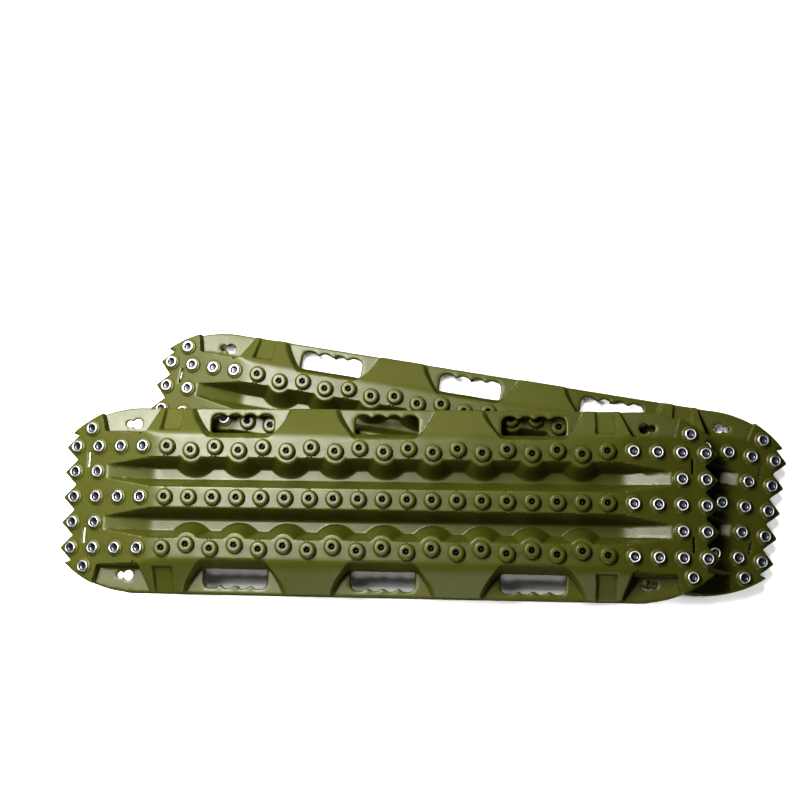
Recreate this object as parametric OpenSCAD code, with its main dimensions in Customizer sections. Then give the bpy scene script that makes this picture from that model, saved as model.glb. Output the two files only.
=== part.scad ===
// A pair of tire traction mats: two moulded recovery boards, one lying on the other.
// Millimetres, +Z up. The origin is under the middle of the pair, on the ground.

/* [Board] */
// Length over the tooth tips
board_l = 1060; // [1040:5:1080]
// Width over the side lips
board_w = 306; // [300:2:320]
// Height of the ridge tops above the ground
ridge_z = 52; // [48:1:56]
// Height of the channel floors and pocket floors above the ground
floor_z = 16; // [14:1:20]
// Thickness of the moulded wall
wall = 4; // [3:0.5:5]

/* [Ridges and channels] */
// Half width of the centre ridge at its top
centre_ridge_half = 17.1; // [15:0.1:19]
// Distance from the middle to the inner edge of a side ridge, at its top
side_ridge_in = 65.2; // [63:0.1:67]
// Distance from the middle to the near edge of the channel floor
channel_in = 31.9; // [30:0.1:33]
// Distance from the middle to the far edge of the channel floor
channel_out = 51.2; // [50:0.1:53]
// Where the channel floor starts to rise as a ramp
ramp_start = 380; // [375:1:385]
// Where the ramp reaches the end plate
ramp_end = 455; // [450:1:457]

/* [Knobs] */
// Spacing of the knobs along a row
pitch = 39.25; // [38.5:0.25:39.5]
// Knobs in a row
knob_count = 19; // [19]
// Diameter of a knob at its foot
knob_d = 27; // [25:0.5:28]
// Height of a knob above the ridge
knob_h = 8; // [6:0.5:8]
// Width across the corners of the six-sided socket in a knob
socket_d = 11.5; // [10:0.5:12]
// Depth of the socket in a knob
socket_depth = 6.5; // [3:0.5:7]
// Row distance of the outer knobs from the middle
knob_row_out = 82; // [80:0.5:83]
// Row distance of the inner knobs, which stand on round towers
knob_row_in = 76.1; // [75:0.1:77]
// Radius of a tower at the ridge top
tower_top_r = 20; // [18:0.5:21]
// Radius of a tower at the channel floor
tower_foot_r = 38.3; // [37:0.1:39]

/* [Steel studs] */
// Distance of the first stud column from the middle of the board
stud_first = 394; // [393:0.5:395]
// Spacing of the stud columns
stud_step = 38.3; // [38:0.1:38.5]
// Diameter of a stud's head
stud_d = 20; // [18:0.5:21]
// Height of a stud's head above its boss
stud_h = 4.5; // [3:0.5:5]
// Diameter of a stud's shank
shank_d = 8; // [6:1:8]
// Width across the corners of the six-sided socket in a stud
stud_socket_d = 12; // [10:0.5:13]
// Depth of the socket in a stud
stud_socket_depth = 4; // [2:0.5:4]
// Diameter of the moulded boss round a stud
boss_d = 27; // [25:0.5:28]
// Height of a boss above the end plate
boss_h = 2; // [1:0.5:3]

/* [Handles and slots] */
// Length of a handle hole
grip_l = 103.5; // [100:0.5:106]
// Distance of the side handles from the middle of the board
grip_x = 239; // [236:1:240]
// Radius of the wide end of a keyhole
key_r = 8.3; // [8:0.1:9]
// Radius of the narrow end of a keyhole
key_neck_r = 5.6; // [5:0.1:6]
// Length of a strap slot
slot_l = 24.5; // [22:0.5:26]
// Width of a strap slot
slot_w = 3; // [2.5:0.5:3.5]

/* [Pair] */
// Turn of the lower board, seen from above
turn = 9; // [0:1:12]
// Shift of the lower board along the upper one
shift_x = 113.3; // [100:0.1:120]
// Shift of the lower board across the upper one
shift_y = 79.1; // [70:0.1:90]
// Gap left between the two boards where they rest on each other
rest_gap = 1.5; // [0.5:0.5:3]

/* [Hidden] */

deck_colour = [0.36, 0.38, 0.16];
stud_colour = [0.80, 0.82, 0.84];
nut_colour = [0.62, 0.64, 0.66];

half_l = board_l / 2;
half_w = board_w / 2;
body_half_w = half_w - 1;
over = 1;                       // how far a cutter runs past what it cuts

// side view of the deck: flat along the ridges, sloping down over the end plates
slope_start = 372;
tip_top_z = ridge_z - 25.5;
tip_bottom_z = 18;
keel_end = 433;                 // where the underside leaves the ground
plate_fall = (ridge_z - tip_top_z) / (half_l - slope_start);
slope_a = atan(plate_fall);
function plate_z(x) = ridge_z - max(0, abs(x) - slope_start) * plate_fall;

// end view of the deck: flat over the ridges, falling to the sides between the handles
shoulder_y = 100;
bend_y = 110;
bend_z = ridge_z - 4;
side_z = floor_z + 4;

// plan: long sides, round corners and toothed ends
corner_r = 171;
corner_x = 404.3;
corner_y = body_half_w - corner_r;
tooth_pitch = 41.2;
tooth_depth = 21;
teeth = 5;
spike = [half_l - 9, 106];      // the cut-off tooth at each corner
lip_h = 4;

// pockets round the handles: half lengths at the floor and at the ridge top
grip_in = 111.5;
grip_out = 142.5;
bump_h = 4.6;
finger_pitch = 25;
finger_r = 19.3;
grip_corner_r = 11;
pocket_in_floor = 110;
pocket_in_top = 98.5;
pocket_half = [51, 67, 80];     // at the floor, from the inner edge to the outer one
pocket_half_y = [pocket_in_floor, 127, 150];
pocket_draft = 8;

// keyhole pockets: floor from x_in to x_out, wider at the side of the board
key_pocket_in = [397, 461];
key_pocket_out = [376, 472];
key_pocket_y = 111;
key_x = 415.5;
key_neck_x = 427.7;
key_y = 124.5;

// shallow square recess beside each keyhole pocket
recess_x = [339, 366];
recess_y = 112.5;
recess_z = [ridge_z - 15, floor_z - 1];
recess_draft = 3.5;

slot_x = 488;
slot_y = 61.8;
stud_row = 82.8;
stud_channel_row = 41.3;
stud_corner = [485, 112.7];
stud_end_x = 480;               // studs beyond this have a well of their own underneath
well_d = 24;
cavity_end = 490;
shank_fit = 0.4;                // how much wider the holes for the shanks are
rib_t = 3;
rib_step = 2 * pitch;
rib_y = [21, 61.8, 100];
hex_sides = 6;
round_fn = 48;
knob_taper = 3;
knob_side = (knob_count - 1) / 2;
end_zone = 50;                  // how far the round corners and the teeth reach in from the spikes
sliver = 0.01;                  // overlap of two cutters that meet end to end

// the pair stands on the middle of its own outline
reach_x = half_l * cos(turn) + 2 * tooth_pitch * sin(turn);
reach_y = keel_end * sin(turn) + half_w * cos(turn);
lowest_x = min(-half_l, shift_x - reach_x);
highest_x = max(half_l, shift_x + reach_x);
lowest_y = min(-half_w, shift_y - reach_y);
highest_y = max(half_w, shift_y + reach_y);
upper_at = [-(lowest_x + highest_x) / 2, -(lowest_y + highest_y) / 2, ridge_z + knob_h + rest_gap];
lower_at = [upper_at.x + shift_x, upper_at.y + shift_y, 0];

module place_upper() { translate(upper_at) children(); }
module place_lower() { translate(lower_at) rotate([0, 0, -turn]) children(); }

// the same thing in all four corners of a board
module four() {
  for (sx = [0, 1]) for (sy = [0, 1]) mirror([sx, 0, 0]) mirror([0, sy, 0]) children();
}

// a block between a lower and an upper outline with the same number of points
module loft(low, high, z_low, z_high) {
  n = len(low);
  polyhedron(
    points = concat([for (p = low) [p.x, p.y, z_low]], [for (p = high) [p.x, p.y, z_high]]),
    faces = concat([[for (i = [0 : n - 1]) i]], [[for (i = [n - 1 : -1 : 0]) n + i]],
      [for (i = [0 : n - 1]) [i, n + i, n + (i + 1) % n, (i + 1) % n]]));
}

// outline of the toothed end as a wedge that trims the plan
function tooth_x(i) = half_l - (i % 2 == 0 ? 0 : tooth_depth);
module end_trim() {
  steps = 2 * teeth;
  polygon(concat([[-over, -spike.y], [spike.x, -spike.y]],
    [for (i = [0 : steps]) [tooth_x(i + 1), (i - teeth) * tooth_pitch / 2]],
    [[spike.x, spike.y], [-over, spike.y]]));
}

// plan of the deck, drawn in by t for the space inside it
module plan(t) {
  square([2 * corner_x, 2 * (body_half_w - t)], center = true);
  for (s = [-1, 1]) intersection() {
    translate([s * corner_x, corner_y]) circle(r = corner_r - t, $fn = 180);
    translate([s * corner_x, -corner_y]) circle(r = corner_r - t, $fn = 180);
    if (t > 0) square([2 * cavity_end, board_w], center = true);
    else union() {
      square([2 * (spike.x - end_zone), board_w], center = true);
      mirror([s < 0 ? 1 : 0, 0]) end_trim();
      mirror([s < 0 ? 1 : 0, 0]) corner_cap();
    }
  }
}

// the round corner outside the first tooth, down to the first valley between the teeth
module corner_cap() {
  inner_x = spike.x - end_zone - over;
  for (s = [0, 1]) mirror([0, s])
    polygon([[inner_x, 0], [inner_x, half_w], [spike.x, half_w], spike,
      [half_l - tooth_depth, teeth * tooth_pitch / 2 - over]]);
}

// outer form of the deck without its channels, drawn in by t and open below when t > 0
module blank(t) {
  z_low = t > 0 ? -over : 0;
  intersection() {
    translate([0, 0, z_low]) linear_extrude(ridge_z + over) plan(t);
    translate([0, half_w, 0]) rotate([90, 0, 0]) linear_extrude(board_w)
      polygon([[-half_l, tip_top_z - t], [-slope_start, ridge_z - t], [slope_start, ridge_z - t],
        [half_l, tip_top_z - t], [half_l, t > 0 ? z_low : tip_bottom_z], [keel_end, z_low],
        [-keel_end, z_low], [-half_l, t > 0 ? z_low : tip_bottom_z]]);
    rotate([90, 0, 90]) translate([0, 0, -half_l]) linear_extrude(board_l)
      polygon([[-half_w, z_low], [half_w, z_low], [half_w, side_z - t], [bend_y, bend_z - t],
        [shoulder_y, ridge_z - t], [-shoulder_y, ridge_z - t], [-bend_y, bend_z - t],
        [-half_w, side_z - t]]);
  }
}

// one channel with a ramp at each end; t widens it for the space under the deck
draft_in = (channel_in - centre_ridge_half) / (ridge_z - floor_z);
draft_out = (side_ridge_in - channel_out) / (ridge_z - floor_z);
ramp_spread = 2;
module channel(t) {
  top = ridge_z + over;
  rise = top - floor_z + t;
  end_rise = top - plate_z(ramp_end) + t;
  translate([-ramp_start - t, 0, 0]) rotate([90, 0, 90]) linear_extrude(2 * (ramp_start + t))
    polygon([[channel_in - t, floor_z - t], [channel_out + t, floor_z - t],
      [channel_out + t + rise * draft_out, top], [channel_in - t - rise * draft_in, top]]);
  for (s = [0, 1]) mirror([s, 0, 0]) ramp(t, top, rise, end_rise);
}

module ramp(t, top, rise, end_rise) {
  a = channel_in - t;
  b = channel_out + t;
  c = a - ramp_spread / 2;
  d = b + ramp_spread;
  z0 = floor_z - t;
  z1 = plate_z(ramp_end) - t;
  x0 = ramp_start + t - sliver;
  x1 = ramp_end;
  polyhedron(
    points = [[x0, a, z0], [x0, b, z0], [x0, b + rise * draft_out, top], [x0, a - rise * draft_in, top],
      [x1, c, z1], [x1, d, z1], [x1, d + end_rise * draft_out, top], [x1, c - end_rise * draft_in, top]],
    faces = [[0, 1, 2, 3], [7, 6, 5, 4], [0, 4, 5, 1], [1, 5, 6, 2], [2, 6, 7, 3], [3, 7, 4, 0]]);
}

// the cone under each inner knob, standing in the channel
module towers(t) {
  flare = (tower_foot_r - tower_top_r) / (ridge_z - floor_z);
  inside = knob_row_in - channel_in;
  outside = tower_foot_r - tower_top_r;
  for (i = [1 - knob_side : 2 : knob_side - 1]) for (s = [0, 1]) mirror([0, s, 0])
    translate([i * pitch, knob_row_in, 0]) intersection() {
      cylinder(r1 = tower_foot_r - t + floor_z * flare, r2 = tower_top_r - t, h = ridge_z - t, $fn = 96);
      translate([-half_w, -inside, floor_z - 2 * t]) cube([board_w, inside + outside, ridge_z]);
    }
}

// the pocket that a handle hole is cut through
module grip_pocket(t) {
  top = ridge_z + over;
  out = half_w + over;
  h = pocket_half;
  low = [[-h[0] - t, pocket_in_floor - t], [h[0] + t, pocket_in_floor - t], [h[1] + t, pocket_half_y[1]],
    [h[2] + t, pocket_half_y[2]], [h[2] + t, out], [-h[2] - t, out], [-h[2] - t, pocket_half_y[2]],
    [-h[1] - t, pocket_half_y[1]]];
  high = [for (p = low) [p.x + sign(p.x) * pocket_draft,
    p.y > pocket_in_floor ? p.y : p.y + pocket_in_top - pocket_in_floor]];
  loft(low, high, floor_z - t, top);
}

// the pocket round a keyhole
module key_pocket(t) {
  top = ridge_z + over;
  out = half_w + over;
  low = [[key_pocket_in[0] - t, key_pocket_y - t], [key_pocket_in[1] + t, key_pocket_y - t],
    [key_pocket_out[1] + t, out], [key_pocket_out[0] - t, out]];
  high = [[low[0].x - pocket_draft, low[0].y - recess_draft],
    [low[1].x + recess_draft, low[1].y - recess_draft],
    [low[2].x + recess_draft, out], [low[3].x - pocket_draft, out]];
  loft(low, high, floor_z - t, top);
}

// the square recess, whose floor falls to the side
module recess(t) {
  out = half_w + over;
  x = [recess_x[0] - t, recess_x[1] + t];
  y = recess_y - t;
  z = [recess_z[0] - t, recess_z[1] - t];
  top = ridge_z + over;
  d = recess_draft;
  polyhedron(
    points = [[x[0], y, z[0]], [x[1], y, z[0]], [x[1], out, z[1]], [x[0], out, z[1]],
      [x[0] - d, y - d, top], [x[1] + d, y - d, top], [x[1] + d, out, top], [x[0] - d, out, top]],
    faces = [[0, 1, 2, 3], [7, 6, 5, 4], [0, 4, 5, 1], [1, 5, 6, 2], [2, 6, 7, 3], [3, 7, 4, 0]]);
}

// everything that makes the top of the deck, drawn in by t
module form(t) {
  difference() {
    union() {
      difference() {
        blank(t);
        for (s = [0, 1]) mirror([0, s, 0]) channel(t);
      }
      towers(t);
    }
    for (x = [-grip_x, 0, grip_x]) for (s = [0, 1]) mirror([0, s, 0]) translate([x, 0, 0]) grip_pocket(t);
    four() key_pocket(t);
    four() recess(t);
  }
}

module knob() {
  translate([0, 0, -over]) cylinder(d = knob_d, h = knob_h - knob_taper + over, $fn = round_fn);
  translate([0, 0, knob_h - knob_taper])
    cylinder(d1 = knob_d, d2 = knob_d - 2 * knob_taper, h = knob_taper, $fn = round_fn);
}

module knob_socket() {
  translate([0, 0, knob_h - socket_depth]) cylinder(d = socket_d, h = socket_depth + over, $fn = hex_sides);
}

module knobs() {
  for (i = [-knob_side : knob_side]) {
    row = i % 2 == 0 ? knob_row_in : knob_row_out;
    for (y = [-row, 0, row]) translate([i * pitch, y, ridge_z]) children();
  }
}

// the frame of a stud: square to the sloping end plate
module at_stud(x, y) {
  translate([x, y, plate_z(x)]) rotate([0, slope_a, 0]) children();
}

module outer_studs() {
  for (i = [0 : 3]) for (s = [-1, 1]) at_stud(stud_first + i * stud_step, s * stud_row) children();
}
module channel_studs() {
  for (i = [2 : 3]) for (s = [-1, 1]) at_stud(stud_first + i * stud_step, s * stud_channel_row) children();
}
module centre_studs() {
  for (i = [0 : 3]) at_stud(stud_first + i * stud_step, 0) children();
}
module corner_studs() {
  for (s = [-1, 1]) at_stud(stud_corner.x, s * stud_corner.y) children();
}
module end_studs() {
  outer_studs() children();
  channel_studs() children();
  centre_studs() children();
  corner_studs() children();
}
module both_ends() {
  for (s = [0, 1]) mirror([s, 0, 0]) children();
}

// ribs under the deck: across between the stud columns, and along between the rows
module ribs() {
  for (i = [-5 : 5]) translate([i * rib_step - rib_t / 2, -half_w, -over])
    cube([rib_t, board_w, ridge_z]);
  for (y = rib_y) for (s = [-1, 1]) translate([-half_l, s * y - rib_t / 2, -over])
    cube([board_l, rib_t, ridge_z]);
}

// clearance from the studs' nuts for the space under the deck
module stud_wells() {
  both_ends() end_studs() translate([0, 0, -wall - ridge_z]) cylinder(d = well_d, h = ridge_z, $fn = round_fn);
}

module grip_outline() {
  l = grip_l / 2;
  r = grip_corner_r;
  intersection() {
    union() {
      translate([-l, grip_in]) square([grip_l, grip_out - bump_h - grip_in]);
      for (i = [-1.5 : 1.5]) translate([i * finger_pitch, grip_out - finger_r]) circle(r = finger_r, $fn = 96);
    }
    union() {
      translate([-l, grip_in]) square([grip_l, grip_out - grip_in - r]);
      translate([-l + r, grip_in]) square([grip_l - 2 * r, grip_out - grip_in]);
      for (s = [-1, 1]) translate([s * (l - r), grip_out - r]) circle(r = r, $fn = round_fn);
    }
  }
}

module through_holes() {
  for (x = [-grip_x, 0, grip_x]) for (s = [0, 1]) mirror([0, s, 0])
    translate([x, 0, -over]) linear_extrude(ridge_z) grip_outline();
  four() translate([key_x, key_y, -over]) cylinder(r = key_r, h = ridge_z, $fn = round_fn);
  four() translate([key_neck_x, key_y, -over]) cylinder(r = key_neck_r, h = ridge_z, $fn = round_fn);
  four() translate([slot_x - slot_w / 2, slot_y - slot_l / 2, -over]) cube([slot_w, slot_l, ridge_z]);
  both_ends() end_studs() translate([0, 0, -wall - over])
    cylinder(d = shank_d + shank_fit, h = wall + boss_h + 2 * over, $fn = round_fn);
}

module deck() {
  color(deck_colour) difference() {
    union() {
      difference() {
        form(0);
        difference() {
          form(wall);
          ribs();
        }
        stud_wells();
      }
      for (s = [-1, 1]) translate([-keel_end, s > 0 ? body_half_w - over : -half_w, 0])
        cube([2 * keel_end, half_w - body_half_w + over, lip_h]);
      knobs() knob();
      both_ends() end_studs() translate([0, 0, -over]) cylinder(d = boss_d, h = boss_h + over, $fn = round_fn);
    }
    knobs() knob_socket();
    through_holes();
  }
}

nut_h = 6.5;
nut_d = 15;
flange_d = 17;
flange_t = 1.5;
washer_d = 18;
washer_t = 1.6;
chamfer = 1.5;
module stud() {
  head_top = boss_h + stud_h;
  shank_end = wall + washer_t + nut_h + over;
  color(stud_colour) difference() {
    union() {
      translate([0, 0, boss_h]) cylinder(d = stud_d, h = stud_h - chamfer, $fn = round_fn);
      translate([0, 0, head_top - chamfer])
        cylinder(d1 = stud_d, d2 = stud_d - 2 * chamfer, h = chamfer, $fn = round_fn);
      translate([0, 0, -shank_end]) cylinder(d = shank_d, h = shank_end + boss_h + over, $fn = round_fn);
    }
    translate([0, 0, head_top - stud_socket_depth])
      cylinder(d = stud_socket_d, h = stud_socket_depth + over, $fn = hex_sides);
  }
}

module washer() {
  color(nut_colour) translate([0, 0, -wall - washer_t]) difference() {
    cylinder(d = washer_d, h = washer_t, $fn = round_fn);
    translate([0, 0, -over]) cylinder(d = shank_d + shank_fit, h = washer_t + 2 * over, $fn = round_fn);
  }
}

module nut() {
  color(nut_colour) translate([0, 0, -wall - washer_t - nut_h]) difference() {
    union() {
      cylinder(d = nut_d, h = nut_h - flange_t, $fn = hex_sides);
      translate([0, 0, nut_h - flange_t]) cylinder(d = flange_d, h = flange_t, $fn = round_fn);
    }
    translate([0, 0, -over]) cylinder(d = shank_d, h = nut_h + 2 * over, $fn = round_fn);
  }
}

module right() { children(); }
module left() { mirror([1, 0, 0]) children(); }

module lower_deck() { place_lower() deck(); }
module lower_left_outer_studs() { place_lower() left() outer_studs() stud(); }
module lower_left_channel_studs() { place_lower() left() channel_studs() stud(); }
module lower_left_centre_studs() { place_lower() left() centre_studs() stud(); }
module lower_left_corner_studs() { place_lower() left() corner_studs() stud(); }
module lower_right_outer_studs() { place_lower() right() outer_studs() stud(); }
module lower_right_channel_studs() { place_lower() right() channel_studs() stud(); }
module lower_right_centre_studs() { place_lower() right() centre_studs() stud(); }
module lower_right_corner_studs() { place_lower() right() corner_studs() stud(); }
module lower_left_washers() { place_lower() left() end_studs() washer(); }
module lower_right_washers() { place_lower() right() end_studs() washer(); }
module lower_left_nuts() { place_lower() left() end_studs() nut(); }
module lower_right_nuts() { place_lower() right() end_studs() nut(); }
module upper_deck() { place_upper() deck(); }
module upper_left_outer_studs() { place_upper() left() outer_studs() stud(); }
module upper_left_channel_studs() { place_upper() left() channel_studs() stud(); }
module upper_left_centre_studs() { place_upper() left() centre_studs() stud(); }
module upper_left_corner_studs() { place_upper() left() corner_studs() stud(); }
module upper_right_outer_studs() { place_upper() right() outer_studs() stud(); }
module upper_right_channel_studs() { place_upper() right() channel_studs() stud(); }
module upper_right_centre_studs() { place_upper() right() centre_studs() stud(); }
module upper_right_corner_studs() { place_upper() right() corner_studs() stud(); }
module upper_left_washers() { place_upper() left() end_studs() washer(); }
module upper_right_washers() { place_upper() right() end_studs() washer(); }
module upper_left_nuts() { place_upper() left() end_studs() nut(); }
module upper_right_nuts() { place_upper() right() end_studs() nut(); }

lower_deck();
lower_left_outer_studs();
lower_left_channel_studs();
lower_left_centre_studs();
lower_left_corner_studs();
lower_right_outer_studs();
lower_right_channel_studs();
lower_right_centre_studs();
lower_right_corner_studs();
lower_left_washers();
lower_right_washers();
lower_left_nuts();
lower_right_nuts();
upper_deck();
upper_left_outer_studs();
upper_left_channel_studs();
upper_left_centre_studs();
upper_left_corner_studs();
upper_right_outer_studs();
upper_right_channel_studs();
upper_right_centre_studs();
upper_right_corner_studs();
upper_left_washers();
upper_right_washers();
upper_left_nuts();
upper_right_nuts();
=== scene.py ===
"""Looks for a stacked pair of tire traction mats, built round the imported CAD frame.

Boards are described in millimetres in their own frame, centred, with the ground at z = 0.
"""
import math

import bpy
import numpy as np
from mathutils import Matrix, Vector
from mathutils.geometry import delaunay_2d_cdt
from mathutils.kdtree import KDTree


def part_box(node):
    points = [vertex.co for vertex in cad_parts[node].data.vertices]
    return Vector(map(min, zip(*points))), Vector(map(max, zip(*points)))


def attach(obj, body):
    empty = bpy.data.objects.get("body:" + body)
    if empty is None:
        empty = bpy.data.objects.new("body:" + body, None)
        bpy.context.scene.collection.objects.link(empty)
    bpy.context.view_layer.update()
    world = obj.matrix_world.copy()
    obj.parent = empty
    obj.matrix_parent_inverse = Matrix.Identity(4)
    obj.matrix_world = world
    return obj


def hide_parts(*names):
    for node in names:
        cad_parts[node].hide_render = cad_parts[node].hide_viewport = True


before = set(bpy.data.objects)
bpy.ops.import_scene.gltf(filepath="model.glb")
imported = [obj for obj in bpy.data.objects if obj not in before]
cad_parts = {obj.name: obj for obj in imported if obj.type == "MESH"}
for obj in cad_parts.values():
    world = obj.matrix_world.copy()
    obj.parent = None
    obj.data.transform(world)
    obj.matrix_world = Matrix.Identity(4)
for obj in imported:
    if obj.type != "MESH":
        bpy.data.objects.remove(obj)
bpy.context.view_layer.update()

MM = 0.001

# Board
HALF_L, HALF_W, BODY_HALF_W = 530.0, 153.0, 152.0
RIDGE_Z, FLOOR_Z, WALL = 52.0, 16.0, 4.0
SLOPE_START, PLATE_FALL = 372.0, 25.5 / 158.0
KEEL_END, KEEL_TIP_Z = 433.0, 18.0
LIP_H, LIP_SLOPE, LIP_CHAMFER, LIP_FADE = 4.0, 1.2, 0.8, 6.0
SLOPE = math.atan(PLATE_FALL)

# Sides: a gentle shoulder, then a steep flank, and a rise back to the end plate at the corners
SHOULDER_Y, SHOULDER_FALL = 100.0, 0.4
FLANK_Y, FLANK_DROP, FLANK_FALL = 110.0, 4.0, 28 / 43
ROUND_FROM_Y = 60.0
RISE_START, RISE_LENGTH, RISE_H = 446.0, 18.0, 16.0

# Channels, ramps and towers. A draft is how far a wall leans for each millimetre that it rises.
CHANNEL_IN, CHANNEL_OUT = 31.9, 51.2
CHANNEL_IN_DRAFT, CHANNEL_OUT_DRAFT = 0.411, 0.389
RAMP_START, RAMP_END = 380.0, 455.0
PITCH, KNOB_SIDE = 39.25, 9
ROW_IN, ROW_OUT = 76.1, 82.0
TOWER_TOP_R, TOWER_FOOT_R = 20.0, 38.3

# Studs
STUD_FIRST, STUD_STEP = 394.0, 38.3
STUD_ROW, STUD_CHANNEL_ROW, STUD_CORNER = 82.8, 41.3, (485.0, 112.7)
STUD_KINDS = ("outer", "channel", "centre", "corner")
BOSS_FOOT_R, SHANK_R, WELL_R = 14.2, 4.2, 12.0

# Outline
CORNER_R, CORNER_X, CORNER_Y = 171.0, 404.3, -19.0
TOOTH, TOOTH_DEPTH, SPIKE = 41.2, 21.0, (521.0, 106.0)
TIP_R, VALLEY_R = 3.0, 1.6
CAVITY_END = 495.5

# Handles and keyholes with their pockets, recesses and slots
GRIP_X, GRIP_HALF, GRIP_IN, GRIP_OUT = 239.0, 51.75, 111.5, 142.5
GRIP_CORNER, GRIP_IN_CORNER = 11.0, 4
BUMP_H, FINGER_PITCH, FINGERS_HALF = 4.6, 25.0, 39
POCKET_IN, POCKET_TOP = 110.0, 98.5
POCKET_Y, POCKET_W = 106, 44
POCKET_HALF, POCKET_SPREAD, POCKET_CURVE = 51, 38.6, 10.6
POCKET_DRAFT, POCKET_DRAFT_GAIN = 0.2, 0.5
KEY_X, KEY_NECK_X, KEY_Y, KEY_R, NECK_R = 415.5, 427.7, 124.5, 8.3, 5.6
KEY_POCKET_NEAR, KEY_POCKET_FAR, KEY_POCKET_Y, KEY_POCKET_TILT = 397, 461, 111, 0.08
KEY_NEAR_SKEW, KEY_FAR_SKEW = 0.5, 0.26
KEY_NEAR_DRAFT, KEY_FAR_DRAFT, KEY_IN_DRAFT = 0.216, 0.12, 0.16
RECESS_X, RECESS_HALF, RECESS_Y, RECESS_DEPTH, RECESS_FALL = 352.5, 13.5, 112.5, 15, 0.524
RECESS_DRAFT, RECESS_IN_DRAFT = 0.36, 0.3
SLOT_X, SLOT_Y, SLOT_L, SLOT_W, SLOT_CORNER = 488.0, 61.8, 24.5, 3.0, 1.0

# Ribs under the deck
RIB_T, RIB_ROWS, CROSS_RIBS = 3.0, (21.0, 61.8, 100.0), 5

# Knobs and bosses: radius and height above the ridge or the plate, from the foot inwards
KNOB_FOOT_R, KNOB_TURNS = 14.0, 36
KNOB_PROFILE = ((13.6, 0.6), (13.4, 4.5), (13.0, 5.5), (12.2, 6.4), (11.1, 7.4), (10.4, 7.85), (9.6, 8.0),
                (6.3, 8.0))
KNOB_SOCKET = ((5.8, 7.9), (5.5, 7.4), (5.3, 1.6), (5.1, 1.4), (4.0, 1.4), (3.8, 1.6), (1.5, 5.2), (1.1, 5.4))
SHADED_SOCKET_R = 5.6                                        # faces nearer the middle of a knob get the socket's painted shade
OUTER_TURN, INNER_TURN = 0.35, 0.9                   # how far the sockets are turned, in radians
BOSS_PROFILE = ((13.7, 0.5), (12.4, 1.5), (11.8, 1.9), (11.3, 2.0), (SHANK_R, 2.0))

# Studs, washers and nuts: the same, from the plate along the stud's own axis
STUD_TURNS = 36
STUD_HEAD = ((SHANK_R - 0.2, 2.0), (9.3, 2.0), (9.6, 2.3), (9.6, 5.1), (9.5, 5.7), (9.2, 6.2),
             (8.8, 6.42), (8.3, 6.5), (6.9, 6.5), (6.4, 6.35))
STUD_DISH = ((6.1, 5.9), (5.6, 4.6), (4.9, 3.5), (4.1, 2.9), (3.4, 2.75))
STUD_SOCKET = ((2.9, 2.7), (2.7, 2.5), (2.6, 1.6))
THREAD_DEPTH, THREAD_PITCH = 0.35, 1.25
WASHER_R, WASHER_T, WASHER_BOTTOM = 9.0, 1.6, -5.6
NUT_R, NUT_FLANGE_R, NUT_FLANGE_T, NUT_BOTTOM = 7.5, 8.5, 1.5, -12.1

# Mesh: how wide the rounded edges are, where rows of points follow them, and the finest cell
SOFT_EDGE, SOFT_ROWS = 2.6, (0.5, 1.3, 2.6)
CRISP_EDGE, CRISP_ROWS = 1.1, (0.4, 1.1)
SMALLEST = 1.1
COLUMNS, ROWS = 88, 30


# ---------------------------------------------------------------- surface of a board

def smooth_min(a, b, k):
    """The lower of two heights, with the bend between them rounded over k."""
    h = np.maximum(k - np.abs(a - b), 0.0)
    return np.minimum(a, b) - h * h / (4 * k)


def smooth_max(a, b, k):
    """The higher of two heights, rounded in the same way."""
    return -smooth_min(-a, -b, k)


def plate(ax):
    """Height of the ridges and end plates, flat and then falling to the tips."""
    return RIDGE_Z - PLATE_FALL * smooth_max(0.0 * ax, ax - SLOPE_START, 14)


def sides(ax, ay):
    """Height of the shoulders, which fall to the long edges and round the corners."""
    corner = np.hypot(ax - CORNER_X, ay - CORNER_Y) - CORNER_R + BODY_HALF_W
    y = np.where((ax > CORNER_X) & (ay > ROUND_FROM_Y), corner, ay)
    shoulder = RIDGE_Z - SHOULDER_FALL * (y - SHOULDER_Y)
    flank = RIDGE_Z - FLANK_DROP - FLANK_FALL * (y - FLANK_Y)
    rise = np.clip((ax - RISE_START) / RISE_LENGTH, 0, 1)
    return smooth_min(shoulder, flank, 1.5) + RISE_H * rise * rise * (3 - 2 * rise)


def channel(ax, ay, t):
    """A channel with a ramp at each end, widened by t."""
    rise = (RIDGE_Z - PLATE_FALL * (RAMP_END - SLOPE_START) - FLOOR_Z) / (RAMP_END - RAMP_START)
    floor = FLOOR_Z - t + rise * smooth_max(0.0 * ax, ax - RAMP_START - t, 8)
    along = np.clip((ax - RAMP_START) / (RAMP_END - RAMP_START), 0, 1.3)
    inner = (CHANNEL_IN - t - along - ay) / CHANNEL_IN_DRAFT + floor
    outer = (ay - CHANNEL_OUT - t - 2 * along) / CHANNEL_OUT_DRAFT + floor
    return smooth_max(floor, smooth_max(inner, outer, 1), 3)


def tower(x, ay, t):
    """The cones that carry the inner knobs."""
    i = np.clip(2 * np.round(x / (2 * PITCH)), 1 - KNOB_SIDE, KNOB_SIDE - 1)
    r = np.hypot(x - i * PITCH, ay - ROW_IN)
    flare = (RIDGE_Z - FLOOR_Z) / (TOWER_FOOT_R - TOWER_TOP_R)
    return FLOOR_Z + (TOWER_FOOT_R - t - r) * flare


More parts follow.
